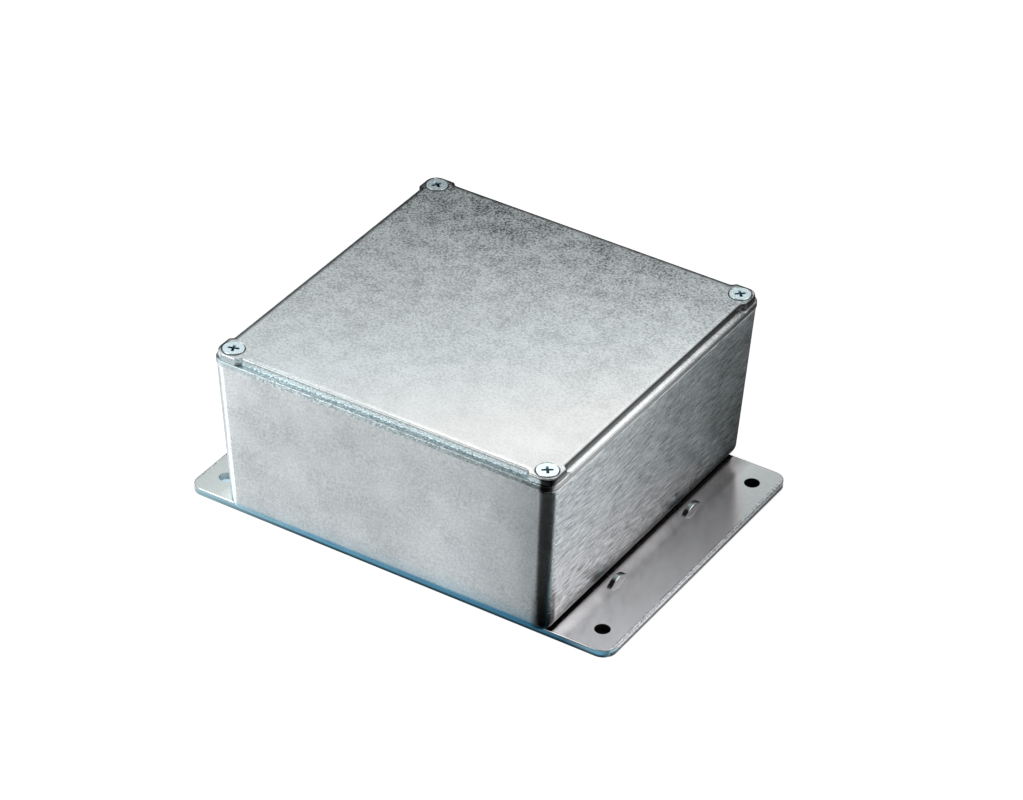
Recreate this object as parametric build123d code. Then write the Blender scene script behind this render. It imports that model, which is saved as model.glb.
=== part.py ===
from build123d import *
import math
import os

# Die-cast electronics enclosure: a drafted square box, a lid held down by four
# countersunk screws, and a pressed flange plate screwed under the floor.
# Millimetres. The plate's underside lies on z = 0 and its long way runs along X.
# The origin is the middle of that underside.

# Box casting, measured above its own floor plane
BODY_WIDTH = 120.8       # across the walls at the rim
BODY_HEIGHT = 55.2
BODY_DRAFT = 2.9         # degrees that each wall leans in towards the floor
BODY_CORNER_R = 4.4
BODY_FOOT_R = 4.0
BODY_RIM_R = 0.3
WALL = 2.6
FLOOR = 3.0
CAVITY_FLOOR_R = 2.0

# Screw pillars in the corners of the box
SCREW_INSET = 4.9        # from the rim's outer face to the screw's axis
PILLAR_R = 5.5

# Lid casting
LID_OVERHANG = 0.2
LID_CORNER_R = 4.5
LID_HEIGHT = 4.0
LID_EDGE_HEIGHT = 1.7
LID_EDGE_R = 0.3
LID_LEDGE = 2.1          # width of the step round the raised field
LID_FIELD_R = 0.5
LID_BOSS_R = 5.7
LID_BOSS_SETBACK = 0.7   # from the lid's edge to the side of a boss
LID_BOSS_BLEND_R = 1.5
LID_BOSS_EDGE_R = 0.8
LID_POCKET = 1.2
TONGUE_DEPTH = 1.5
TONGUE_THICK = 1.8
TONGUE_CLEAR = 0.3

# Countersunk cross-recess screws
SCREW_DIA = 3.5
SCREW_HEAD_DIA = 6.9
SCREW_HEAD_EDGE = 0.35
SCREW_HEAD_BEVEL = 0.12
SCREW_TIP_CHAMFER = 0.6
SCREW_THREAD_CLEAR = 0.05
SCREW_HOLE_CLEAR = 0.25
SCREW_SEAT_GAP = 0.05
SCREW_HOLE_EXTRA = 1.5   # depth of a blind hole below the screw's tip
CROSS_SPAN = 3.6
CROSS_WIDTH = 0.9
CROSS_FOOT_SPAN = 1.5
CROSS_FOOT_WIDTH = 0.55
CROSS_DEPTH = 1.6
LID_SCREW_LENGTH = 16.0
LID_SCREW_PROUD = 0.1
LID_SCREW_TURNS = (20.0, 36.0, 41.0, 59.0)
PLATE_SCREW_LENGTH = 9.0
PLATE_SCREW_SUNK = 0.1
PLATE_SCREW_TURNS = (20.0, 65.0, 5.0, 40.0)

# Bosses on the floor that take the screws of the plate
FLOOR_BOSS_SPACING = 76.0
FLOOR_BOSS_R = 4.5
FLOOR_BOSS_HEIGHT = 5.0

# Flange plate
FLANGE_REACH = 18.5      # past the foot width of the box, at each end
PLATE_SETBACK = 3.7      # inside the foot width of the box, at each side
PLATE_THICK = 2.5
PLATE_CORNER_R = 4.5
PLATE_EDGE_R = 0.4
FLANGE_HOLE_DIA = 5.0
FLANGE_HOLE_INSET_X = 7.8
FLANGE_HOLE_INSET_Y = 9.5
BOX_SHIFT_X = -1.2       # the box sits this far off the middle of the plate

# Bridges pressed up out of the plate to locate the box between them
BRIDGE_GAP = 1.2         # from the foot width of the box to a bridge
BRIDGE_LENGTH = 9.4
BRIDGE_WIDTH = 1.6
BRIDGE_RISE = 2.1
BRIDGE_METAL = 2.2
BRIDGE_EDGE_R = 0.2
BRIDGE_SPACING_Y = 44.0

# Sizes that follow
DRAFT_SLOPE = math.tan(math.radians(BODY_DRAFT))
BODY_FOOT = BODY_WIDTH - 2 * BODY_HEIGHT * DRAFT_SLOPE
LID_WIDTH = BODY_WIDTH + 2 * LID_OVERHANG
SCREW_SPACING = BODY_WIDTH - 2 * SCREW_INSET
PLATE_LENGTH = BODY_FOOT + 2 * FLANGE_REACH
PLATE_WIDTH = BODY_FOOT - 2 * PLATE_SETBACK
BODY_Z = PLATE_THICK
LID_Z = BODY_Z + BODY_HEIGHT
BRIDGE_X = BODY_FOOT / 2 + BRIDGE_GAP + BRIDGE_WIDTH / 2
BASE = (Align.CENTER, Align.CENTER, Align.MIN)


def body_width(height):
    """Width across the drafted walls at a height above the floor plane."""
    return BODY_FOOT + 2 * height * DRAFT_SLOPE


def square_places(spacing, height=0.0):
    """Four places on a square, anticlockwise from the corner at -X -Y."""
    half = spacing / 2
    corners = ((-half, -half), (half, -half), (half, half), (-half, half))
    return [Pos(x, y, height) for x, y in corners]


def edges_at(shape, height):
    """Edges that lie flat at one height."""
    return [
        edge for edge in shape.edges()
        if abs(edge.bounding_box().min.Z - height) < 0.001
        and abs(edge.bounding_box().max.Z - height) < 0.001
    ]


def drafted_block(low, high, height, corner_r):
    """Square block with drafted walls and upright corners of one radius."""
    block = loft([Rectangle(low, low), Pos(0, 0, height) * Rectangle(high, high)])
    upright = [edge for edge in block.edges() if edge.bounding_box().size.Z > height / 2]
    return fillet(upright, corner_r)


def box_body():
    """Box casting with corner pillars for the lid and bosses for the plate."""
    block = drafted_block(BODY_FOOT, BODY_WIDTH, BODY_HEIGHT, BODY_CORNER_R)
    block = fillet(edges_at(block, 0), BODY_FOOT_R)
    block = fillet(edges_at(block, BODY_HEIGHT), BODY_RIM_R)

    cavity_low = body_width(FLOOR) - 2 * WALL
    cavity_high = BODY_WIDTH - 2 * WALL
    cavity_r = BODY_CORNER_R - WALL
    cavity = drafted_block(cavity_low, cavity_high, BODY_HEIGHT - FLOOR, cavity_r)
    cavity = fillet(edges_at(cavity, 0), min(CAVITY_FLOOR_R, 0.9 * cavity_r))
    body = block - Pos(0, 0, FLOOR) * cavity

    pillar = Cylinder(PILLAR_R, BODY_HEIGHT, align=BASE)
    floor_boss = Cylinder(FLOOR_BOSS_R, FLOOR + FLOOR_BOSS_HEIGHT, align=BASE)
    for place in square_places(SCREW_SPACING):
        body += (place * pillar) & block
    for place in square_places(FLOOR_BOSS_SPACING):
        body += place * floor_boss

    thread_r = SCREW_DIA / 2 + SCREW_THREAD_CLEAR
    lid_depth = LID_SCREW_LENGTH - LID_SCREW_PROUD - LID_HEIGHT + SCREW_HOLE_EXTRA
    lid_hole = Cylinder(thread_r, lid_depth, align=BASE)
    for place in square_places(SCREW_SPACING, BODY_HEIGHT - lid_depth):
        body -= place * lid_hole
    plate_depth = PLATE_SCREW_LENGTH + PLATE_SCREW_SUNK - PLATE_THICK
    plate_depth += min(SCREW_HOLE_EXTRA, (FLOOR + FLOOR_BOSS_HEIGHT - plate_depth) / 2)
    plate_hole = Cylinder(thread_r, plate_depth, align=BASE)
    for place in square_places(FLOOR_BOSS_SPACING):
        body -= place * plate_hole
    return Pos(BOX_SHIFT_X, 0, BODY_Z) * body


def countersink(top_r, bore_r, thickness):
    """Cutter with its mouth on z = 0, a 90 degree cone and a bore below it."""
    cone_depth = top_r - bore_r
    cone = Pos(0, 0, -cone_depth) * Cone(bore_r, top_r, cone_depth, align=BASE)
    bore = Pos(0, 0, -thickness) * Cylinder(bore_r, thickness, align=BASE)
    return cone + bore


def mouth_radius(proud):
    """Mouth of the countersink that seats a head standing this far proud."""
    return SCREW_HEAD_DIA / 2 + SCREW_HEAD_EDGE - proud + SCREW_SEAT_GAP


def raised_outline():
    """Plan of the lid's raised field with a round boss at each screw."""
    field = LID_WIDTH - 2 * LID_LEDGE
    limit = LID_WIDTH - 2 * LID_BOSS_SETBACK
    inside = RectangleRounded(limit, limit, LID_CORNER_R - LID_BOSS_SETBACK)
    outline = Rectangle(field, field)
    for place in square_places(SCREW_SPACING):
        outline += (place * Circle(LID_BOSS_R)) & inside
    edge_of_field = field / 2 + 0.01
    corners = outline.vertices()
    blends = [v for v in corners if max(abs(v.X), abs(v.Y)) < edge_of_field]
    outline = fillet(blends, LID_BOSS_BLEND_R)
    reach = limit / 2 - 0.01
    tips = [
        v for v in outline.vertices()
        if max(abs(v.X), abs(v.Y)) > reach and min(abs(v.X), abs(v.Y)) < SCREW_SPACING / 2 - 1
    ]
    return fillet(tips, LID_BOSS_EDGE_R)


def lid():
    """Lid casting: stepped edge, raised field with corner bosses, tongue below."""
    edge = extrude(RectangleRounded(LID_WIDTH, LID_WIDTH, LID_CORNER_R), LID_EDGE_HEIGHT)
    raised = extrude(raised_outline(), LID_HEIGHT)
    raised = fillet(edges_at(raised, LID_HEIGHT), LID_FIELD_R)
    edge = fillet(edges_at(edge, LID_EDGE_HEIGHT), LID_EDGE_R)
    cover = edge + raised

    tongue_outer = BODY_WIDTH - 2 * (WALL + TONGUE_CLEAR)
    tongue_inner = tongue_outer - 2 * TONGUE_THICK
    outer_plan = Rectangle(tongue_outer, tongue_outer)
    inner_plan = Rectangle(tongue_inner, tongue_inner)
    for place in square_places(SCREW_SPACING):
        outer_plan -= place * Circle(PILLAR_R + TONGUE_CLEAR)
        inner_plan -= place * Circle(PILLAR_R + TONGUE_CLEAR + TONGUE_THICK)
    cover += extrude(outer_plan, -TONGUE_DEPTH)
    cover -= Pos(0, 0, -TONGUE_DEPTH) * extrude(inner_plan, TONGUE_DEPTH + LID_POCKET)

    bore_r = SCREW_DIA / 2 + SCREW_HOLE_CLEAR
    cutter = countersink(mouth_radius(LID_SCREW_PROUD), bore_r, LID_HEIGHT)
    for place in square_places(SCREW_SPACING, LID_HEIGHT):
        cover -= place * cutter
    return Pos(BOX_SHIFT_X, 0, LID_Z) * cover


def countersunk_screw(length):
    """Screw with the top of its head on z = 0 and its tip pointing down."""
    head_r = SCREW_HEAD_DIA / 2
    shank_r = SCREW_DIA / 2
    cone_foot = -SCREW_HEAD_EDGE - (head_r - shank_r)
    profile = make_face(Polyline(
        (0, 0), (head_r - SCREW_HEAD_BEVEL, 0), (head_r, -SCREW_HEAD_BEVEL),
        (head_r, -SCREW_HEAD_EDGE), (shank_r, cone_foot),
        (shank_r, -length + SCREW_TIP_CHAMFER), (shank_r - SCREW_TIP_CHAMFER, -length),
        (0, -length), (0, 0)))
    screw = revolve(Plane.XZ * profile, Axis.Z)
    wing = loft([
        Pos(0, 0, -CROSS_DEPTH) * Rectangle(CROSS_FOOT_SPAN, CROSS_FOOT_WIDTH),
        Rectangle(CROSS_SPAN, CROSS_WIDTH)])
    return screw - wing - Rot(0, 0, 90) * wing


def lid_screws():
    """Four screws through the lid's bosses into the corner pillars."""
    screw = countersunk_screw(LID_SCREW_LENGTH)
    places = square_places(SCREW_SPACING, LID_Z + LID_HEIGHT + LID_SCREW_PROUD)
    turned = [p * Rot(0, 0, a) * screw for p, a in zip(places, LID_SCREW_TURNS)]
    return Compound([Pos(BOX_SHIFT_X, 0, 0) * one for one in turned])


def plate_screws():
    """Four screws from below, through the plate into the floor bosses."""
    screw = Rot(180, 0, 0) * countersunk_screw(PLATE_SCREW_LENGTH)
    places = square_places(FLOOR_BOSS_SPACING, PLATE_SCREW_SUNK)
    turned = [p * Rot(0, 0, a) * screw for p, a in zip(places, PLATE_SCREW_TURNS)]
    return Compound([Pos(BOX_SHIFT_X, 0, 0) * one for one in turned])


def bridge_radius():
    """Outer radius of a bridge's arch, from its chord and its rise."""
    return (BRIDGE_LENGTH ** 2 / 4 + BRIDGE_RISE ** 2) / (2 * BRIDGE_RISE)


def mounting_plate():
    """Flange plate with four mounting holes and pressed bridges beside the box."""
    plan = RectangleRounded(PLATE_LENGTH, PLATE_WIDTH, PLATE_CORNER_R)
    plate = extrude(plan, PLATE_THICK)
    plate = fillet(edges_at(plate, PLATE_THICK), PLATE_EDGE_R)

    arch_r = bridge_radius()
    across = Rot(0, 90, 0)
    arch = across * Cylinder(arch_r, BRIDGE_WIDTH)
    rounded = [e for e in arch.edges() if e.length > arch_r * 4]
    arch = fillet(rounded, BRIDGE_EDGE_R)
    arch_z = PLATE_THICK + BRIDGE_RISE - arch_r
    below = Pos(0, 0, PLATE_THICK / 2) * Box(
        BRIDGE_WIDTH * 2, arch_r * 3, arch_r * 3, align=(Align.CENTER, Align.CENTER, Align.MAX))
    groove = across * Cylinder(arch_r - BRIDGE_METAL, BRIDGE_WIDTH)
    for x in (-BRIDGE_X, BRIDGE_X):
        for y in (-BRIDGE_SPACING_Y / 2, BRIDGE_SPACING_Y / 2):
            plate += Pos(x, y, 0) * (Pos(0, 0, arch_z) * arch - below)
            plate -= Pos(x, y, arch_z) * groove

    hole_x = PLATE_LENGTH / 2 - FLANGE_HOLE_INSET_X
    hole_y = PLATE_WIDTH / 2 - FLANGE_HOLE_INSET_Y
    hole = Cylinder(FLANGE_HOLE_DIA / 2, PLATE_THICK, align=BASE)
    for x in (-hole_x, hole_x):
        for y in (-hole_y, hole_y):
            plate -= Pos(x, y, 0) * hole

    bore_r = SCREW_DIA / 2 + SCREW_HOLE_CLEAR
    cutter = Rot(180, 0, 0) * countersink(mouth_radius(-PLATE_SCREW_SUNK), bore_r, PLATE_THICK)
    for place in square_places(FLOOR_BOSS_SPACING):
        plate -= Pos(BOX_SHIFT_X, 0, 0) * place * cutter
    return plate


PIECES = {
    "box_body": box_body,
    "lid": lid,
    "lid_screws": lid_screws,
    "mounting_plate": mounting_plate,
    "plate_screws": plate_screws,
}

os.makedirs("parts", exist_ok=True)
for name, make in PIECES.items():
    export_step(make(), f"parts/{name}.step")
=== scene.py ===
import math
import bpy
import bmesh
from mathutils import Matrix, Vector

# Die-cast electronics enclosure on its flange plate. Blender works in metres. The numbers
# below are millimetres and degrees, and the floor is z = 0.

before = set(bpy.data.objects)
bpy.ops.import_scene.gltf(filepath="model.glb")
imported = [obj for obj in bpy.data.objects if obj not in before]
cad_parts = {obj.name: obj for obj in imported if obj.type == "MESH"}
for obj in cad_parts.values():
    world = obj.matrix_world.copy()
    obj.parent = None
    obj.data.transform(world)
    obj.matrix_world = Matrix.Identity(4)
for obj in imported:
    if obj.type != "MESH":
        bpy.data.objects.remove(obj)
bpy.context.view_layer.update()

MM = 0.001

# Camera, from the fit to the photographed holes, screws and edges
IMAGE_WIDTH = 1023
SENSOR_WIDTH = 36.0
FOCAL_PX = 4418.075
AZIMUTH = 31.70079
ELEVATION = 34.98316
ROLL = 1.39584
OFFSET_RIGHT = 6.818614
OFFSET_UP = 26.900558
DISTANCE = 1372.078602
CLIP_METRES = (0.01, 50.0)

# The enclosure's own sizes
BOX_MIDDLE_X = -1.2
PLATE_TOP = 2.5
PLATE_HALF_X = 76.1
BOX_TOP = 57.7
FOOT_HALF = 57.6
LID_TOP = 61.7
FIELD_HALF = 58.5
BOSS_AT = 55.5
BOSS_RADIUS = 5.7
BOSS_LIMIT = 59.9
BRIDGE_AT_Y = 22.0
BRIDGE_TOP = 4.6
BRIDGE_RADIUS = 6.31
LID_SCREW_TOP = 61.68
PLATE_SCREW_FACE = 0.22

# Blender's noise mostly lies between these values, and the narrow pair makes it harsher
NOISE_RANGE = (0.3, 0.7)
HARSH_RANGE = (0.35, 0.65)

# Directions: along the walls, up, and level across the corner that faces the camera
ALONG_X = (1, 0, 0)
ALONG_Y = (0, 1, 0)
UPWARD = (0, 0, 1)
ACROSS_CORNER = (0.851, 0.525, 0)


def camera_axes():
    """Right, up and back of the camera in the row frame."""
    az = math.radians(AZIMUTH)
    el = math.radians(ELEVATION)
    roll = math.radians(ROLL)
    back = Vector((math.sin(az) * math.cos(el), -math.cos(az) * math.cos(el), math.sin(el)))
    level = Vector((math.cos(az), math.sin(az), 0.0))
    rise = back.cross(level)
    right = level * math.cos(roll) + rise * math.sin(roll)
    up = rise * math.cos(roll) - level * math.sin(roll)
    return right, up, back


def place_camera():
    right, up, back = camera_axes()
    data = bpy.data.cameras.new("camera")
    data.sensor_fit = "HORIZONTAL"
    data.sensor_width = SENSOR_WIDTH
    data.lens = FOCAL_PX / IMAGE_WIDTH * SENSOR_WIDTH
    data.clip_start, data.clip_end = CLIP_METRES
    camera = bpy.data.objects.new("camera", data)
    bpy.context.scene.collection.objects.link(camera)
    at = (right * OFFSET_RIGHT + up * OFFSET_UP + back * DISTANCE) * MM
    camera.matrix_world = Matrix((
        (right.x, up.x, back.x, at.x),
        (right.y, up.y, back.y, at.y),
        (right.z, up.z, back.z, at.z),
        (0.0, 0.0, 0.0, 1.0)))
    bpy.context.scene.camera = camera


def rgba(r, g, b):
    return (r, g, b, 1.0)


def grey(value):
    """A grey with the faint blue cast of the studio."""
    return rgba(value * 0.98, value, value * 1.01)


class Shader:
    """A material's node tree with short ways to add and join nodes."""

    def __init__(self, name):
        self.material = bpy.data.materials.new(name)
        self.material.use_nodes = True
        self.tree = self.material.node_tree
        self.tree.nodes.clear()
        self.out = self.node("ShaderNodeOutputMaterial")
        self.coords = self.node("ShaderNodeTexCoord").outputs["Object"]

    def node(self, kind, **settings):
        made = self.tree.nodes.new(kind)
        for key, value in settings.items():
            setattr(made, key, value)
        return made

    def put(self, value, socket):
        """Join an output to a socket, or set the socket's own value."""
        if isinstance(value, bpy.types.NodeSocket):
            self.tree.links.new(value, socket)
        else:
            socket.default_value = value

    def math(self, operation, *values, clamp=False):
        made = self.node("ShaderNodeMath", operation=operation, use_clamp=clamp)
        for value, socket in zip(values, made.inputs):
            self.put(value, socket)
        return made.outputs[0]

    def times(self, product, *others):
        for other in others:
            product = self.math("MULTIPLY", product, other)
        return product

    def plus(self, total, *others):
        for other in others:
            total = self.math("ADD", total, other)
        return total

    def minus(self, a, b):
        return self.math("SUBTRACT", a, b)

    def size_of(self, value):
        return self.math("ABSOLUTE", value)

    def larger(self, a, b):
        return self.math("MAXIMUM", a, b)

    def smaller(self, a, b):
        return self.math("MINIMUM", a, b)

    def noise(self, size, detail, roughness, stretch=(1, 1, 1), turn=(0, 0, 0)):
        """Noise whose blobs are about this many millimetres across."""
        mapping = self.node("ShaderNodeMapping", vector_type="TEXTURE")
        self.put(self.coords, mapping.inputs["Vector"])
        mapping.inputs["Rotation"].default_value = [math.radians(a) for a in turn]
        mapping.inputs["Scale"].default_value = stretch
        made = self.node("ShaderNodeTexNoise")
        self.put(mapping.outputs[0], made.inputs["Vector"])
        made.inputs["Scale"].default_value = 1 / (size * MM)
        made.inputs["Detail"].default_value = detail
        made.inputs["Roughness"].default_value = roughness
        return made.outputs["Fac"]

    def ramp(self, value, low, high, out_low=0.0, out_high=1.0):
        """Straight map of a range onto another, held at its ends."""
        made = self.node("ShaderNodeMapRange")
        self.put(value, made.inputs["Value"])
        for key, number in (("From Min", low), ("From Max", high),
                            ("To Min", out_low), ("To Max", out_high)):
            self.put(number, made.inputs[key])
        return made.outputs["Result"]

    def spread(self, noise, out_low, out_high, within=NOISE_RANGE):
        """Noise as a number between two others."""
        return self.ramp(noise, *within, out_low, out_high)

    def profile(self, value, stops):
        """Straight lines through (value, result) pairs, held at its ends."""
        first, last = stops[0][0], stops[-1][0]
        top = max(result for at, result in stops)
        made = self.node("ShaderNodeValToRGB")
        self.put(self.ramp(value, first, last), made.inputs[0])
        places = made.color_ramp.elements
        for at, result in stops[1:-1]:
            places.new((at - first) / (last - first))
        for place, (at, result) in zip(places, stops):
            place.color = rgba(result / top, result / top, result / top)
        return self.times(made.outputs["Color"], top)

    def millimetres(self):
        """The three coordinates in millimetres."""
        scaled = self.node("ShaderNodeVectorMath", operation="SCALE")
        self.put(self.coords, scaled.inputs[0])
        scaled.inputs["Scale"].default_value = 1 / MM
        split = self.node("ShaderNodeSeparateXYZ")
        self.put(scaled.outputs[0], split.inputs[0])
        return split.outputs

    def blend(self, factor, a, b):
        """Mix of two numbers."""
        made = self.node("ShaderNodeMix", data_type="FLOAT")
        self.put(factor, made.inputs[0])
        self.put(a, made.inputs[2])
        self.put(b, made.inputs[3])
        return made.outputs[0]

    def only_on(self, mask, value):
        """The number where the mask is 1, and 1 where it is 0."""
        return self.blend(mask, 1.0, value)

    def mix(self, factor, a, b):
        """Mix of two colours."""
        made = self.node("ShaderNodeMix", data_type="RGBA")
        self.put(factor, made.inputs[0])
        self.put(a, made.inputs[6])
        self.put(b, made.inputs[7])
        return made.outputs[2]

    def shade(self, colour, value):
        """A colour made lighter or darker by a number."""
        made = self.node("ShaderNodeVectorMath", operation="SCALE")
        self.put(colour, made.inputs[0])
        self.put(value, made.inputs["Scale"])
        return made.outputs[0]

    def dot(self, vector, direction):
        made = self.node("ShaderNodeVectorMath", operation="DOT_PRODUCT")
        self.put(vector, made.inputs[0])
        made.inputs[1].default_value = direction
        return made.outputs["Value"]

    def along(self, direction):
        """How far a point lies along a direction, in millimetres."""
        return self.dot(self.coords, [d / MM for d in direction])

    def facing(self, direction, low, high):
        """1 where the face points along or against a direction, 0 where it doesn't."""
        normal = self.node("ShaderNodeNewGeometry").outputs["Normal"]
        return self.ramp(self.size_of(self.dot(normal, direction)), low, high)

    def metal(self, colour, roughness, bumps):
        """Bare metal. Each bump is a height, how strongly it shows, and its depth."""
        body = self.node("ShaderNodeBsdfPrincipled")
        self.put(colour, body.inputs["Base Color"])
        self.put(roughness, body.inputs["Roughness"])
        body.inputs["Metallic"].default_value = 1.0
        normal = None
        for height, strength, depth in bumps:
            bump = self.node("ShaderNodeBump")
            bump.inputs["Strength"].default_value = strength
            bump.inputs["Distance"].default_value = depth * MM
            self.put(height, bump.inputs["Height"])
            if normal is not None:
                self.put(normal, bump.inputs["Normal"])
            normal = bump.outputs["Normal"]
        self.put(normal, body.inputs["Normal"])
        self.put(body.outputs[0], self.out.inputs["Surface"])
        return self.material


# A bump of this strength and depth is a height in millimetres
TRUE_HEIGHT = (1.0, 1.0)

# Down the corner that faces the camera: where it starts in X, and its width across
CORNER_FROM_X = (46.0, 50.0)
CORNER_BAND = ((14.4, 0.0), (15.4, 1.0), (18.4, 1.0), (19.4, 0.0))

# Below, a name that ends in RAMP holds the two ends of a range and the results at them,
# FROM and BAND hold two places between which something fades in, and TONE is how far a
# noise lightens and darkens.

# Box casting
SPECKLE_TONE = (-0.22, 0.22)
CLOUD_TONE = (-0.06, 0.06)
STREAK_TONE = (-0.55, 0.55)
SCRATCH_RAMP = (0.60, 0.72, 0.0, -0.30)
LINES_BY_HEIGHT_RAMP = (8.0, 24.0, 1.5, 1.0)
Y_WALL_SPECKLE = 0.8
Y_WALL_CLOUD = 1.7
# RIM_BAND and RIM_ALONG_Y_RAMP place a painted highlight along the rim of the X walls, brighter at
# the -Y end
RIM_BAND = (BOX_TOP - 0.9, BOX_TOP - 0.6)
RIM_ALONG_Y_RAMP = (-50.0, 50.0, 1.15, 0.75)
RIM_BEVEL_RAMP = (BOX_TOP - 0.7, BOX_TOP, 0.0, -0.19)
# FOOT_ALONG_Y_RAMP and the under-foot band and ramp set painted shade at the foot of the X walls,
# darkest at the -Y end
FOOT_ALONG_Y_RAMP = (-30.0, 30.0, 0.02, 0.16)
UNDER_FOOT_BAND = (3.5, 5.0)
UNDER_FOOT_ALONG_Y_RAMP = (-50.0, -25.0, 0.10, 1.0)
# Painted highlight low down on the left corner of the box
LEFT_CORNER_FROM_X = (-50.0, -53.0)
LEFT_CORNER_RAMP = (16.0, 32.0, 1.5, 1.0)
# Painted dark reflection down the front corner, strongest low down, with a ragged top
CORNER_STRIPE_RAMP = (15.0, 30.0, 1.0, 0.0)
CORNER_STRIPE_RAGGED = 12.0
BLUE_ALONG_X_RAMP = (-50.0, 50.0, 0.1, 1.0)
CASTING_ROUGHNESS = (0.26, 0.33)
FRONT_CORNER_ROUGHNESS = 0.25
# (height or place, brightness) pairs, for painted light, shade and reflections
# Painted highlight at the rim of the X walls
RIM_SHADE = ((BOX_TOP - 3.0, 1.0), (BOX_TOP - 1.0, 1.15), (BOX_TOP - 0.65, 1.5), (BOX_TOP, 1.5))
# Painted shade at the foot of the X walls
FOOT_SHADE = ((2.5, 0.01), (3.5, 0.03), (5.0, 0.11), (6.0, 0.24), (7.0, 0.48), (8.5, 0.70),
              (10.5, 0.73), (13.0, 0.78), (18.0, 0.86), (30.0, 0.98))
# Painted blue reflection at the foot of the Y walls, stronger towards +X
FOOT_BLUE_REFLECTION = ((2.5, 1.0), (5.0, 0.72), (8.0, 0.34), (12.0, 0.0))
# Painted light and shade along the Y walls
ALONG_Y_WALL_SHADE = ((-56.0, 1.09), (-35.0, 1.05), (-10.0, 1.0), (8.0, 1.0), (28.0, 1.12),
                      (44.0, 1.12), (50.0, 1.0))
# Painted dark reflection across the front corner
CORNER_DARK_STRIPE = ((13.1, 0.0), (14.7, 0.75), (18.1, 0.75), (18.5, 0.96), (20.2, 0.97), (20.8, 0.0))
X_WALL_COLOUR = rgba(0.595, 0.645, 0.660)
Y_WALL_COLOUR = rgba(0.610, 0.645, 0.656)
BLUE_REFLECTION_COLOUR = rgba(0.16, 0.36, 0.46)
# Painted shade at the top of the box's front corner, over the lid joint
BOX_CORNER_STRIPE_SHADE = 0.08


def casting_tone(s, z, speckle, cloud, streak, x_wall, y_wall):
    """Speckle and clouds all over, and brushed lines on the X walls."""
    scratch = s.noise(size=0.45, detail=2.0, roughness=0.5, stretch=(1, 18, 1), turn=(1.5, 0, 0))
    lines = s.plus(s.spread(streak, *STREAK_TONE), s.ramp(scratch, *SCRATCH_RAMP))
    lines = s.times(lines, s.ramp(z, *LINES_BY_HEIGHT_RAMP))
    grain = s.plus(s.times(s.spread(speckle, *SPECKLE_TONE), s.only_on(y_wall, Y_WALL_SPECKLE)),
                   s.times(s.spread(cloud, *CLOUD_TONE), s.only_on(y_wall, Y_WALL_CLOUD)))
    return s.math("MULTIPLY_ADD", lines, x_wall, grain)


def casting_shade(s, x, y, z, beside, y_wall):
    """Painted shade at the foot and a painted highlight at the rim of the X walls, painted light
    along the Y walls, and a painted highlight on the left corner.
    """
    # Painted highlight at the rim of the X walls
    rim_end = s.only_on(s.ramp(z, *RIM_BAND), s.ramp(y, *RIM_ALONG_Y_RAMP))
    # Painted shade at the foot of the X walls, darkest at the -Y end
    foot = s.larger(s.profile(z, FOOT_SHADE), s.ramp(y, *FOOT_ALONG_Y_RAMP))
    under_foot = s.blend(s.ramp(z, *UNDER_FOOT_BAND), s.ramp(y, *UNDER_FOOT_ALONG_Y_RAMP), 1.0)
    x_wall_shade = s.times(s.profile(z, RIM_SHADE), rim_end, foot, under_foot)
    # Painted highlight low down on the left corner
    left_corner = s.times(s.facing((0.6, 0.8, 0), 0.84, 0.93), s.ramp(x, *LEFT_CORNER_FROM_X))
    return s.times(s.only_on(beside, x_wall_shade),
                   s.only_on(y_wall, s.profile(x, ALONG_Y_WALL_SHADE)),
                   s.only_on(left_corner, s.ramp(z, *LEFT_CORNER_RAMP)))


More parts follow.
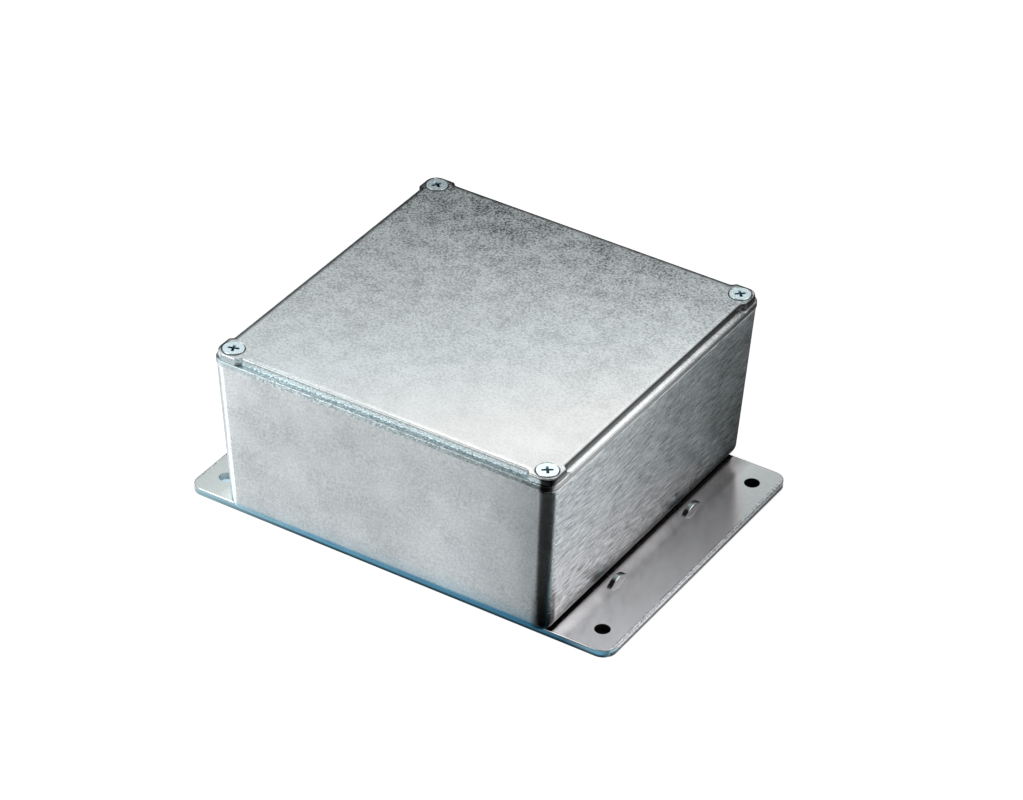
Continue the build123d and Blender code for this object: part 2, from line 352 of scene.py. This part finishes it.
def casting_finish():
    """Box casting: satin aluminium with a fine speckle, the X walls brushed along Y, with painted
    shade, highlights and reflections.
    """
    s = Shader("casting_finish")
    x, y, z = s.millimetres()
    speckle = s.noise(size=0.75, detail=3.0, roughness=0.6)
    cloud = s.noise(size=11.0, detail=3.0, roughness=0.55)
    streak = s.noise(size=0.36, detail=2.0, roughness=0.6, stretch=(1, 13, 1), turn=(0.5, 0, 0))
    x_wall = s.facing(ALONG_X, 0.80, 0.97)
    y_wall = s.facing(ALONG_Y, 0.5, 0.9)
    beside = s.facing(ALONG_X, 0.15, 0.5)

    across = s.along(ACROSS_CORNER)
    by_corner = s.ramp(x, *CORNER_FROM_X)
    # Painted dark reflection down the front corner
    low_down = s.ramp(s.math("MULTIPLY_ADD", streak, CORNER_STRIPE_RAGGED, z), *CORNER_STRIPE_RAMP)
    dark_stripe = s.times(s.profile(across, CORNER_DARK_STRIPE), by_corner, low_down)
    # Painted shade at the top of the front corner, over the lid joint
    upper_corner_stripe = s.times(s.profile(across, CORNER_BAND), by_corner,
                    s.ramp(z, BOX_TOP - 1.0, BOX_TOP - 0.7))
    tone = casting_tone(s, z, speckle, cloud, streak, x_wall, y_wall)
    light = s.times(casting_shade(s, x, y, z, beside, y_wall), s.plus(tone, 1.0),
                    s.minus(1.0, dark_stripe), s.only_on(upper_corner_stripe, BOX_CORNER_STRIPE_SHADE))

    # Painted blue reflection at the foot of the Y walls
    blue_reflection = s.times(y_wall, s.ramp(x, *BLUE_ALONG_X_RAMP), s.profile(z, FOOT_BLUE_REFLECTION))
    base = s.mix(blue_reflection, s.mix(y_wall, X_WALL_COLOUR, Y_WALL_COLOUR), BLUE_REFLECTION_COLOUR)
    front_corner = s.facing((0.454, -0.891, 0), 0.86, 0.97)
    roughness = s.blend(front_corner, s.spread(cloud, *CASTING_ROUGHNESS), FRONT_CORNER_ROUGHNESS)
    rim_bevel = s.times(s.ramp(z, *RIM_BEVEL_RAMP), beside)
    return s.metal(s.shade(base, light), roughness, (
        (s.times(streak, x_wall), 0.4, 0.03), (speckle, 0.2, 0.04), (rim_bevel, *TRUE_HEIGHT)))


# Lid casting
LID_SPECKLE_TONE = (-0.23, 0.23)
LID_PATCH_TONE = (0.08, -0.08)
LID_CLOUD_TONE = (-0.04, 0.04)
LID_SPECKS_RAMP = (0.58, 0.78, 0.0, -0.36)
SPECKS_BY_PATCH = 0.30
SPECKS_TOWARD_BACK = ((0.1, 0.25), (0.4, 0.7), (1.0, 1.6))
# Painted shade on the far side of the lid, ragged by a cloud noise
FAR_SIDE_RAMP = (44.0, 74.0, 0.0, -0.22)
FAR_SIDE_RAGGED = 40.0
RIGHT_CORNER_RAMP = (80.0, 115.0, 0.0, -0.13)
# Painted warm cast of the highlight on the field near the front corner
WARM_FRONT_FROM = (24.0, 72.0)
STEP_FOOT_BAND = (0.0, 0.6)
# Painted light and shade along the stepped edge: the right side darker towards the back, the front
# ledge lighter towards -X
FADE_ALONG_Y_RAMP = (-10.0, 50.0, 0.0, 0.36)
LEDGE_BAND = (2.0, 3.5)
LEDGE_ALONG_X_RAMP = (-50.0, 50.0, 0.2, -0.25)
FRONT_FROM_X = (-54.0, -44.0)
FLECK_TONE = (-0.5, 0.4)
FRONT_LEAN_RAMP = (0.2, 2.2, 0.0, 0.5)
RIGHT_TILT_RAMP = (2.3, 3.9, 0.0, -0.42)
LID_ROUGHNESS = (0.30, 0.36)
# Painted highlight on X-facing faces at the lid's left end above the ledge, which are also made
# rough
NOTCH_ROUGHNESS = 0.9
NOTCH_PAINTED_HIGHLIGHT = 1.7
# Painted shade and highlights of the stepped edge: (place on the stepped edge, brightness) pairs,
# for its three kinds of side
RIGHT_EDGE_SHADE = ((-1.8, 1.0), (-1.2, 1.08), (-0.9, 1.10), (-0.6, 1.0), (-0.4, 0.7),
                    (-0.15, 0.40), (0.05, 0.23), (0.6, 0.19), (1.0, 0.25), (1.4, 0.50),
                    (1.9, 0.74), (2.3, 0.76), (2.7, 0.96), (3.3, 1.06), (3.7, 0.98),
                    (4.0, 0.70), (4.4, 0.93), (5.2, 0.9), (5.6, 0.75), (6.1, 0.7))
FRONT_EDGE_SHADE = ((-2.0, 1.0), (-1.5, 1.10), (-0.9, 1.25), (-0.5, 1.25), (-0.2, 1.0),
                    (0.0, 0.68), (0.3, 0.62), (0.7, 0.85), (1.2, 1.35), (1.8, 1.5),
                    (2.3, 1.2), (2.8, 0.98), (3.3, 0.9), (3.7, 0.74), (4.0, 0.68),
                    (4.3, 0.8), (4.7, 1.0), (6.1, 1.05))
BACK_EDGE_SHADE = ((-1.7, 1.0), (-1.1, 0.45), (-0.6, 0.12), (0.6, 0.12), (2.3, 0.6),
                   (4.4, 0.9), (6.1, 0.9))
# Painted shadow round a screw's head, set off a little: (distance from its axis, brightness)
SCREW_RING_SHADE = ((3.3, 0.22), (3.72, 0.28), (3.95, 1.0))
SCREW_RING_OFFSET = (-0.15, 0.25)
LID_COLOUR = rgba(0.608, 0.648, 0.656)
WARM_LID_COLOUR = rgba(0.655, 0.655, 0.645)
# Painted tints of the stepped edge: a blue reflection on the front, a lighter grey on the right
FRONT_EDGE_COLOUR = rgba(0.57, 0.665, 0.69)
RIGHT_EDGE_COLOUR = rgba(0.645, 0.655, 0.655)
# Painted shade down the lid's front corner
LID_CORNER_STRIPE_SHADE = 0.05


def from_screws(s, x, y):
    """Distance from the nearest lid screw's axis."""
    off_x = s.minus(s.size_of(x), BOSS_AT)
    off_y = s.minus(s.size_of(y), BOSS_AT)
    return s.math("SQRT", s.plus(s.times(off_x, off_x), s.times(off_y, off_y)))


def lid_step(s, x, y, z):
    """0 at the edge of the raised field, then the way out and down its stepped edge."""
    out = s.larger(s.size_of(x), s.size_of(y))
    boss = s.larger(s.minus(from_screws(s, x, y), BOSS_RADIUS), s.minus(out, BOSS_LIMIT))
    return s.plus(s.smaller(s.minus(out, FIELD_HALF), boss), s.minus(LID_TOP, z))


def lid_tone(s, x, y, speckle, patches):
    """Speckle and dark specks that thicken towards the back, and painted shade on the far sides.
    """
    specks = s.noise(size=0.75, detail=2.0, roughness=0.6)
    cloud = s.noise(size=28.0, detail=3.0, roughness=0.55)
    toward_back = s.ramp(s.plus(s.along((-0.0035, 0.0065, 0)), 0.5), 0.0, 1.0)
    dark = s.ramp(s.math("MULTIPLY_ADD", patches, SPECKS_BY_PATCH, specks), *LID_SPECKS_RAMP)
    grain = s.plus(s.spread(speckle, *LID_SPECKLE_TONE), dark,
                   s.spread(patches, *LID_PATCH_TONE))
    # Painted shade on the far side of the lid
    far_side = s.ramp(s.math("MULTIPLY_ADD", cloud, FAR_SIDE_RAGGED, y), *FAR_SIDE_RAMP)
    return s.plus(s.times(grain, s.profile(toward_back, SPECKS_TOWARD_BACK)),
                  s.spread(cloud, *LID_CLOUD_TONE), far_side,
                  s.ramp(s.minus(x, y), *RIGHT_CORNER_RAMP))


def lid_edge_shade(s, x, y, step, right, front):
    """Painted shade at the foot and painted highlights on the ledge and along the field's edge of
    the stepped edge, flecked along the front.
    """
    fade = s.times(s.ramp(y, *FADE_ALONG_Y_RAMP), s.ramp(step, -0.2, 0.3))
    on_right = s.times(s.profile(step, RIGHT_EDGE_SHADE), s.minus(1.0, fade))
    flecks = s.noise(size=0.38, detail=2.0, roughness=0.6, stretch=(1.8, 1, 1))
    flecks = s.spread(flecks, *FLECK_TONE, HARSH_RANGE)
    along_front = s.math("MULTIPLY_ADD", s.ramp(x, *LEDGE_ALONG_X_RAMP),
                         s.ramp(step, *LEDGE_BAND), 1.0)
    on_front = s.times(s.profile(step, FRONT_EDGE_SHADE), along_front,
                       s.math("MULTIPLY_ADD", flecks, s.ramp(step, -0.1, 0.5), 1.0))
    on_front = s.only_on(s.ramp(x, *FRONT_FROM_X), on_front)
    behind = s.profile(step, BACK_EDGE_SHADE)
    return s.blend(front, s.blend(right, behind, on_right), on_front)


def lid_finish():
    """Lid casting: the same metal, with dark specks that thicken towards one corner, and painted
    light and shade.
    """
    s = Shader("lid_finish")
    x, y, z = s.millimetres()
    speckle = s.noise(size=0.55, detail=3.0, roughness=0.6)
    patches = s.noise(size=7.0, detail=3.0, roughness=0.6)
    middle_x = s.minus(x, BOX_MIDDLE_X)
    step = lid_step(s, middle_x, y, z)
    right = s.ramp(s.minus(middle_x, s.size_of(y)), -1.0, 1.0)
    front = s.ramp(s.plus(s.size_of(middle_x), y), -1.0, 1.0, 1.0, 0.0)

    # Painted shadow round the screw heads, set off a little to one side
    shadow = from_screws(s, s.plus(middle_x, SCREW_RING_OFFSET[0]),
                         s.plus(y, SCREW_RING_OFFSET[1]))
    painted_screw_shadow = s.only_on(s.ramp(z, LID_TOP - 0.6, LID_TOP - 0.3), s.profile(shadow, SCREW_RING_SHADE))
    # Painted shade down the lid's front corner
    upper_corner_stripe = s.times(s.profile(s.along(ACROSS_CORNER), CORNER_BAND), s.ramp(x, *CORNER_FROM_X),
                    s.ramp(z, LID_TOP - 0.5, LID_TOP - 0.2, 1.0, 0.0))
    # Painted highlight on X-facing faces at the lid's left end
    notch_highlight = s.times(s.facing(ALONG_X, 0.2, 0.5), s.ramp(x, -46.0, -48.0), s.ramp(z, 60.0, 60.4))
    light = s.times(lid_edge_shade(s, x, y, step, right, front), painted_screw_shadow,
                    s.only_on(upper_corner_stripe, LID_CORNER_STRIPE_SHADE), s.only_on(notch_highlight, NOTCH_PAINTED_HIGHLIGHT),
                    s.plus(lid_tone(s, x, y, speckle, patches), 1.0))

    on_edge = s.ramp(step, *STEP_FOOT_BAND)
    # Painted warm cast of the highlight near the front corner
    warm = s.times(s.ramp(s.minus(x, y), *WARM_FRONT_FROM), s.ramp(step, 0.0, 0.5, 1.0, 0.0))
    base = s.mix(warm, LID_COLOUR, WARM_LID_COLOUR)
    base = s.mix(s.times(on_edge, front), base, FRONT_EDGE_COLOUR)
    base = s.mix(s.times(on_edge, right), base, RIGHT_EDGE_COLOUR)
    roughness = s.blend(notch_highlight, s.spread(patches, *LID_ROUGHNESS), NOTCH_ROUGHNESS)
    lean = s.times(s.ramp(step, *FRONT_LEAN_RAMP), front)
    tilt = s.math("MULTIPLY_ADD", s.ramp(step, *RIGHT_TILT_RAMP), right, lean)
    return s.metal(s.shade(base, light), roughness, (
        (speckle, 0.3, 0.05), (tilt, *TRUE_HEIGHT)))


# Plate
SHEET_GRAIN_TONE = (-0.03, 0.03)
SHEET_SPECKLE_TONE = (-0.045, 0.045)
END_SPECKLE = (0.55, 1.45)
RIM_SPECKLE = (0.45, 1.2)
RIM_FROM_X = (PLATE_HALF_X - 1.2, PLATE_HALF_X - 0.8)
END_FACE_FROM_X = (PLATE_HALF_X - 1.0, PLATE_HALF_X - 0.5)
ON_BRIDGE_BAND = (PLATE_TOP + 0.1, PLATE_TOP + 0.4)
ARCH_BEVEL_RAMP = (0.0, 0.35, 0.0, 0.7)
SIDE_ALONG_X_RAMP = (-70.0, -20.0, 0.8, 0.0)
SHEET_ROUGHNESS = 0.19
ROUNDED_END_ROUGHNESS = 0.6
ROUNDED_END_FROM = ((69.0, 71.0), (-48.0, -50.0))
# Painted light and shade under and beside the box, across the flange and on the cut edges:
# (clearance from the box's foot or place, brightness) pairs
UNDER_BOX_SHADE = ((-3.5, 0.02), (-1.7, 0.05), (-1.3, 0.15), (-0.9, 0.60), (-0.4, 1.0), (6.0, 1.0))
NEAR_WALL = ((-0.8, 0.4), (0.2, 1.0), (2.0, 0.9), (4.5, 0.35), (7.0, 0.0))
NEAR_WALL_SHADE = ((-50.0, 1.5), (-38.0, 1.0), (-25.0, 0.70), (0.0, 0.85), (20.0, 0.46),
                   (50.0, 0.38))
FLANGE_SHADE = ((4.0, 1.08), (7.0, 1.07), (11.6, 1.0), (16.6, 0.95))
END_FACE_SHADE = ((0.2, 0.18), (0.8, 0.25), (1.2, 0.7), (1.6, 1.25), (2.5, 1.35))
SIDE_FACE_SHADE = ((0.2, 0.15), (0.6, 0.22), (1.0, 0.75), (1.4, 1.0))
# Painted shade and highlights on the bridges: along the arch from its crown, and down its outer
# face from the arch's edge
ARCH_TOP_SHADE = ((-4.7, 0.3), (-1.8, 0.2), (-0.4, 0.5), (0.5, 1.0), (2.2, 1.0), (3.0, 0.5),
                  (4.7, 0.4))
ARCH_FACE_SHADE = ((0.0, 1.35), (0.3, 1.35), (0.45, 0.66), (2.1, 0.74))
RIGHT_FLANGE_FROM_X = (40.0, 50.0)
OPEN_END = (144.0, 150.0)
LEFT_FLANGE_COLOUR = rgba(0.60, 0.625, 0.625)
RIGHT_FLANGE_COLOUR = rgba(0.645, 0.592, 0.597)
OPEN_END_COLOUR = rgba(0.595, 0.63, 0.63)
END_FACE_COLOUR = rgba(0.62, 0.655, 0.70)
# Painted blue reflection on the rounded corner of the plate by the front corner
ROUNDED_END_BLUE_REFLECTION = rgba(0.42, 0.64, 0.75)
DISH_WIDTH = 5.0
DISH_CURVE = 0.025


def plate_edge_shade(s, x, z, speckle, end_face, side_face, top_shade):
    """The sheet's cut edges: painted shade below, and a painted highlight, speckled, above."""
    end = s.times(s.profile(z, END_FACE_SHADE), s.spread(speckle, *END_SPECKLE, HARSH_RANGE))
    side = s.larger(s.profile(z, SIDE_FACE_SHADE), s.ramp(x, *SIDE_ALONG_X_RAMP))
    return s.blend(side_face, s.blend(end_face, top_shade, end), side)


def plate_finish():
    """Plate: smooth rolled sheet, with painted light and shade under and beside the box, on its
    cut edges and bridges.
    """
    s = Shader("plate_finish")
    x, y, z = s.millimetres()
    grain = s.noise(size=0.5, detail=2.0, roughness=0.5, stretch=(10, 1, 1))
    speckle = s.noise(size=0.6, detail=2.0, roughness=0.5)
    out_x = s.size_of(x)
    clear = s.minus(s.size_of(s.minus(x, BOX_MIDDLE_X)), FOOT_HALF)
    upward = s.facing(UPWARD, 0.7, 0.95)
    end_face = s.times(s.facing(ALONG_X, 0.7, 0.9), s.ramp(out_x, *END_FACE_FROM_X))
    side_face = s.facing(ALONG_Y, 0.7, 0.9)

    from_crown = s.minus(y, s.times(s.math("SIGN", y), BRIDGE_AT_Y))
    arch_rise = s.math("SQRT", s.minus(BRIDGE_RADIUS ** 2, s.times(from_crown, from_crown)))
    below_arch = s.minus(s.plus(arch_rise, BRIDGE_TOP - BRIDGE_RADIUS), z)
    arch_face = s.facing(ALONG_X, 0.5, 0.9)
    on_bridge = s.ramp(z, *ON_BRIDGE_BAND)
    # Painted shade and highlights on the bridges
    bridge_shade = s.blend(arch_face, s.profile(from_crown, ARCH_TOP_SHADE),
                           s.profile(below_arch, ARCH_FACE_SHADE))

    # Painted shade under the box, and painted light and shade beside its wall
    near_wall = s.only_on(s.profile(clear, NEAR_WALL), s.profile(y, NEAR_WALL_SHADE))
    top_shade = s.times(s.profile(clear, UNDER_BOX_SHADE), near_wall,
                        s.profile(clear, FLANGE_SHADE))
    rim_speckle = s.only_on(s.ramp(out_x, *RIM_FROM_X),
                            s.spread(speckle, *RIM_SPECKLE, HARSH_RANGE))
    top_shade = s.times(s.blend(on_bridge, top_shade, bridge_shade), rim_speckle)
    tone = s.plus(s.spread(grain, *SHEET_GRAIN_TONE), s.spread(speckle, *SHEET_SPECKLE_TONE), 1.0)
    light = s.times(plate_edge_shade(s, x, z, speckle, end_face, side_face, top_shade), tone)

    on_right = s.ramp(x, *RIGHT_FLANGE_FROM_X)
    open_end = s.ramp(s.along((1.62, 1.0, 0)), *OPEN_END)
    open_end = s.times(s.larger(open_end, s.ramp(z, PLATE_TOP + 0.1, PLATE_TOP + 0.3)), on_right)
    end_from_x, end_from_y = ROUNDED_END_FROM
    rounded_end = s.times(s.minus(1.0, s.facing(UPWARD, 0.5, 0.9)),
                          s.ramp(x, *end_from_x), s.ramp(y, *end_from_y))
    base = s.mix(on_right, LEFT_FLANGE_COLOUR, RIGHT_FLANGE_COLOUR)
    base = s.mix(open_end, base, OPEN_END_COLOUR)
    base = s.mix(end_face, base, END_FACE_COLOUR)
    base = s.mix(rounded_end, base, ROUNDED_END_BLUE_REFLECTION)

    inwards = s.ramp(clear, 0.0, DISH_WIDTH, DISH_WIDTH, 0.0)
    dish = s.times(inwards, inwards, upward, DISH_CURVE)
    arch_bevel = s.times(s.ramp(below_arch, *ARCH_BEVEL_RAMP), arch_face, on_bridge)
    roughness = s.blend(rounded_end, SHEET_ROUGHNESS, ROUNDED_END_ROUGHNESS)
    return s.metal(s.shade(base, light), roughness, (
        (grain, 0.1, 0.02), (dish, *TRUE_HEIGHT), (arch_bevel, *TRUE_HEIGHT)))


# Zinc plate
# Painted shade, dark teal, down in a screw's recess
RECESS_BAND = (-0.40, 0.02)
ZINC_TONE = (0.9, 1.05)
ZINC_ROUGHNESS = (0.22, 0.34)
RECESS_PAINTED_SHADE = rgba(0.06, 0.18, 0.23)
ZINC_COLOUR = rgba(0.67, 0.79, 0.825)


def zinc_finish(name, head_face, upward):
    """Screws: bright zinc plate with a faint blue cast, and painted shade down in the recess."""
    s = Shader(name)
    z = s.millimetres()[2]
    grain = s.noise(size=0.35, detail=2.0, roughness=0.5)
    height = s.times(s.minus(z, head_face), upward)
    base = s.mix(s.ramp(height, *RECESS_BAND), RECESS_PAINTED_SHADE, ZINC_COLOUR)
    return s.metal(s.shade(base, s.spread(grain, *ZINC_TONE)), s.spread(grain, *ZINC_ROUGHNESS),
                   ((grain, 0.15, 0.02),))


def lid_screw_finish():
    return zinc_finish("lid_screw_finish", LID_SCREW_TOP, 1.0)


def plate_screw_finish():
    return zinc_finish("plate_screw_finish", PLATE_SCREW_FACE, -1.0)


FINISHES = {
    "box_body": casting_finish,
    "lid": lid_finish,
    "lid_screws": lid_screw_finish,
    "mounting_plate": plate_finish,
    "plate_screws": plate_screw_finish,
}


def finish_nodes():
    for name, finish in FINISHES.items():
        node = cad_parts[name]
        material = finish()
        if not node.material_slots:
            node.data.materials.append(material)
        for place in node.material_slots:
            place.material = material


# Floor: how bright it is seen and mirrored, and the patches seen through the plate's holes
FLOOR_HALF_METRES = 4.0
FLOOR_SEEN = 0.82
FLOOR_MIRRORED = 0.48
FLOOR_COLOUR = rgba(0.80, 0.80, 0.80)
UNDER_PLATE_COLOUR = rgba(0.01, 0.01, 0.012)
UNDER_PLATE_X = (7.0, 66.0)
UNDER_PLATE_HALF_Y = 51.0
LEFT_HOLES_X = (-67.0, 7.0)
LEFT_HOLES_GLOW = rgba(0.40, 0.64, 0.78)
WHITE = rgba(1.0, 1.0, 1.0)


def floor():
    mesh = bpy.data.meshes.new("floor")
    bm = bmesh.new()
    bmesh.ops.create_grid(bm, x_segments=1, y_segments=1, size=FLOOR_HALF_METRES)
    bm.to_mesh(mesh)
    bm.free()
    plane = bpy.data.objects.new("floor", mesh)
    bpy.context.scene.collection.objects.link(plane)
    s = Shader("floor_finish")
    x, y, z = s.millimetres()

    def within(value, middle, half):
        return s.math("LESS_THAN", s.size_of(s.minus(value, middle)), half)

    in_y = within(y, 0.0, UNDER_PLATE_HALF_Y)
    open_floor = s.minus(1.0, s.times(within(x, *UNDER_PLATE_X), in_y))
    left_holes = s.times(in_y, within(x, *LEFT_HOLES_X))
    path = s.node("ShaderNodeLightPath")
    mirrored = s.math("ADD", path.outputs["Is Glossy Ray"], path.outputs["Is Transmission Ray"],
                      clamp=True)
    seen = s.blend(path.outputs["Is Camera Ray"], s.times(mirrored, FLOOR_MIRRORED), FLOOR_SEEN)
    diffuse = s.node("ShaderNodeBsdfDiffuse")
    s.put(s.mix(open_floor, UNDER_PLATE_COLOUR, FLOOR_COLOUR), diffuse.inputs["Color"])
    glow = s.node("ShaderNodeEmission")
    s.put(s.mix(left_holes, WHITE, LEFT_HOLES_GLOW), glow.inputs["Color"])
    s.put(s.times(seen, open_floor), glow.inputs["Strength"])
    both = s.node("ShaderNodeAddShader")
    s.put(diffuse.outputs[0], both.inputs[0])
    s.put(glow.outputs[0], both.inputs[1])
    s.put(both.outputs[0], s.out.inputs["Surface"])
    s.material.cycles.emission_sampling = "NONE"
    mesh.materials.append(s.material)


def card(name, corners, colour, far_colour=None, along=UPWARD, start=0.0, end=1.0, bend=1.0):
    """A flat studio card that only shows in reflections. It may fade to a second colour
    between two distances along a direction."""
    mesh = bpy.data.meshes.new(name)
    bm = bmesh.new()
    bm.faces.new([bm.verts.new(Vector(c) * MM) for c in corners])
    bm.to_mesh(mesh)
    bm.free()
    made = bpy.data.objects.new(name, mesh)
    bpy.context.scene.collection.objects.link(made)
    s = Shader(name + "_finish")
    glow = s.node("ShaderNodeEmission")
    if far_colour:
        far = s.math("POWER", s.ramp(s.along(along), start, end), bend)
        colour = s.mix(far, colour, far_colour)
    s.put(colour, glow.inputs["Color"])
    s.put(glow.outputs[0], s.out.inputs["Surface"])
    s.material.cycles.emission_sampling = "NONE"
    mesh.materials.append(s.material)
    made.visible_camera = False
    made.visible_diffuse = False
    made.visible_shadow = False


def level(x0, x1, y0, y1, z):
    """Corners of a level rectangle."""
    return [(x0, y0, z), (x1, y0, z), (x1, y1, z), (x0, y1, z)]


def upright(start, end, low, high):
    """Corners of an upright rectangle between two points on the floor."""
    return [(*start, low), (*end, low), (*end, high), (*start, high)]


def sector(tip, radius, first, last, height, steps=12):
    """Corners of a level sector, by azimuth in degrees from -Y towards +X."""
    points = [(*tip, height)]
    for step in range(steps + 1):
        a = math.radians(first + (last - first) * step / steps)
        points.append((tip[0] + radius * math.sin(a), tip[1] - radius * math.cos(a), height))
    return points


def world_light(strength):
    """White to the camera and in mirrors, and an even light of this strength otherwise."""
    world = bpy.data.worlds.new("studio")
    bpy.context.scene.world = world
    world.use_nodes = True
    tree = world.node_tree
    tree.nodes.clear()
    out = tree.nodes.new("ShaderNodeOutputWorld")
    light = tree.nodes.new("ShaderNodeBackground")
    light.inputs["Strength"].default_value = strength
    white = tree.nodes.new("ShaderNodeBackground")
    path = tree.nodes.new("ShaderNodeLightPath")
    seen = path.outputs["Is Camera Ray"]
    for ray in ("Is Glossy Ray", "Is Transmission Ray"):
        either = tree.nodes.new("ShaderNodeMath")
        either.operation = "MAXIMUM"
        tree.links.new(seen, either.inputs[0])
        tree.links.new(path.outputs[ray], either.inputs[1])
        seen = either.outputs[0]
    mix = tree.nodes.new("ShaderNodeMixShader")
    tree.links.new(seen, mix.inputs[0])
    tree.links.new(light.outputs[0], mix.inputs[1])
    tree.links.new(white.outputs[0], mix.inputs[2])
    tree.links.new(mix.outputs[0], out.inputs["Surface"])


def softbox(name, at, towards, width, height, watts):
    data = bpy.data.lights.new(name, "AREA")
    data.shape = "RECTANGLE"
    data.size = width * MM
    data.size_y = height * MM
    data.energy = watts
    lamp = bpy.data.objects.new(name, data)
    bpy.context.scene.collection.objects.link(lamp)
    lamp.location = Vector(at) * MM
    aim = Vector(towards) - Vector(at)
    lamp.rotation_euler = aim.to_track_quat("-Z", "Y").to_euler()


# Studio cards: their colours, how far out the far ones stand, and where the low ones lie
BLACK = rgba(0.004, 0.005, 0.006)
NEAR_BLACK = rgba(0.026, 0.028, 0.027)
DARK_BLUE = rgba(0.04, 0.06, 0.08)
PALE_BLUE = rgba(0.92, 0.98, 0.97)
FAR = 700
BACKDROP_Y = 900
FLAG_LIFT = 0.1
PANEL_LIFT = 0.3
STRIP_LIFT = 0.15
STRIP_FRONT_Y = -62
PLATE_SIDE_Y = -53.95
FRONT_CORNER = (57, -57)
LEFT_CORNER = (-58, -57)


def front_flags():
    """Dark cards in front, mirrored by the front corner, the walls and the lid's steps."""
    card("flag_front", sector(FRONT_CORNER, 170, -26, 104, FLAG_LIFT), NEAR_BLACK)
    card("flag_front_soft", [(21, -57, FLAG_LIFT), (*FRONT_CORNER, FLAG_LIFT),
                             (-12, -212, FLAG_LIFT), (-91, -223, FLAG_LIFT)],
         grey(0.82), grey(0.44), (0.829, -0.559, 0), 49.116, 79.116)
    card("flag_front_far", upright((-60, -FAR), (FAR, -FAR), 0, FAR),
         grey(0.02), grey(0.55), UPWARD, 60, 360)
    card("flag_right_far", upright((FAR, -FAR), (FAR, 60), 0, FAR),
         grey(0.02), grey(0.55), UPWARD, 60, 360)
    card("flag_top", level(-250, FAR, -600, 120, FAR), BLACK)


def side_and_back_cards():
    """Cards to the right and behind, mirrored by the right wall, the flange and the lid."""
    card("flag_right", [(76.3, -55, FLAG_LIFT), (500, -10.4, FLAG_LIFT),
                        (500, BACKDROP_Y, FLAG_LIFT), (0, BACKDROP_Y, FLAG_LIFT),
                        (0, 54.2, FLAG_LIFT), (76.3, 54.2, FLAG_LIFT)],
         grey(0.80), grey(0.09), (-1.893, 1, 0), -157.8, -61.8, 0.65)
    card("flag_right_horizon", upright((500, 60), (500, BACKDROP_Y), 0, 200), grey(0.2))
    card("flag_behind", level(-600, 0, 140, 600, 0.5), DARK_BLUE)
    card("flag_horizon", upright((-600, 0), (300, 600), 0, 180), DARK_BLUE)
    card("panel_lid", level(-420, 110, 20, 330, 260),
         grey(0.02), grey(2.1), (0.25, -0.43, 0), -177.88, -77.88)
    card("panel_right", level(112, FAR, 20, BACKDROP_Y, 200),
         grey(1.9), grey(0.05), ALONG_Y, 180, 285, 0.75)


def left_cards():
    """Bright cards at the left, mirrored by the left corner and the left flange."""
    card("panel_left_end", level(-260, -126, 20, 140, 100), PALE_BLUE)
    card("panel_left", sector(LEFT_CORNER, 95, -42, -76, PANEL_LIFT), grey(1.8))


def foot_strips():
    """Blue strips on the floor, mirrored by the round foot of the box."""
    card("strip_front_left", level(-77, -30, STRIP_FRONT_Y, PLATE_SIDE_Y, STRIP_LIFT),
         rgba(0.62, 0.90, 1.0), rgba(0.20, 0.47, 0.66), ALONG_X, -77, -30)
    card("strip_front_right", [(-30, STRIP_FRONT_Y, STRIP_LIFT), (50, STRIP_FRONT_Y, STRIP_LIFT),
                               (58, -57, STRIP_LIFT), (58, PLATE_SIDE_Y, STRIP_LIFT),
                               (-30, PLATE_SIDE_Y, STRIP_LIFT)],
         rgba(0.22, 0.52, 0.72), rgba(0.06, 0.22, 0.34), ALONG_X, -30, 58)
    card("strip_front_end", level(58, 80, -57, PLATE_SIDE_Y, STRIP_LIFT),
         rgba(0.06, 0.20, 0.30), rgba(0.40, 0.75, 0.90), ALONG_X, 60, 74)


place_camera()
finish_nodes()
floor()
world_light(strength=0.35)
softbox("left_front", at=(-500, -600, 500), towards=(0, 0, 30), width=500, height=400, watts=2.0)
front_flags()
side_and_back_cards()
left_cards()
foot_strips()
bpy.context.scene.view_settings.view_transform = "Standard"
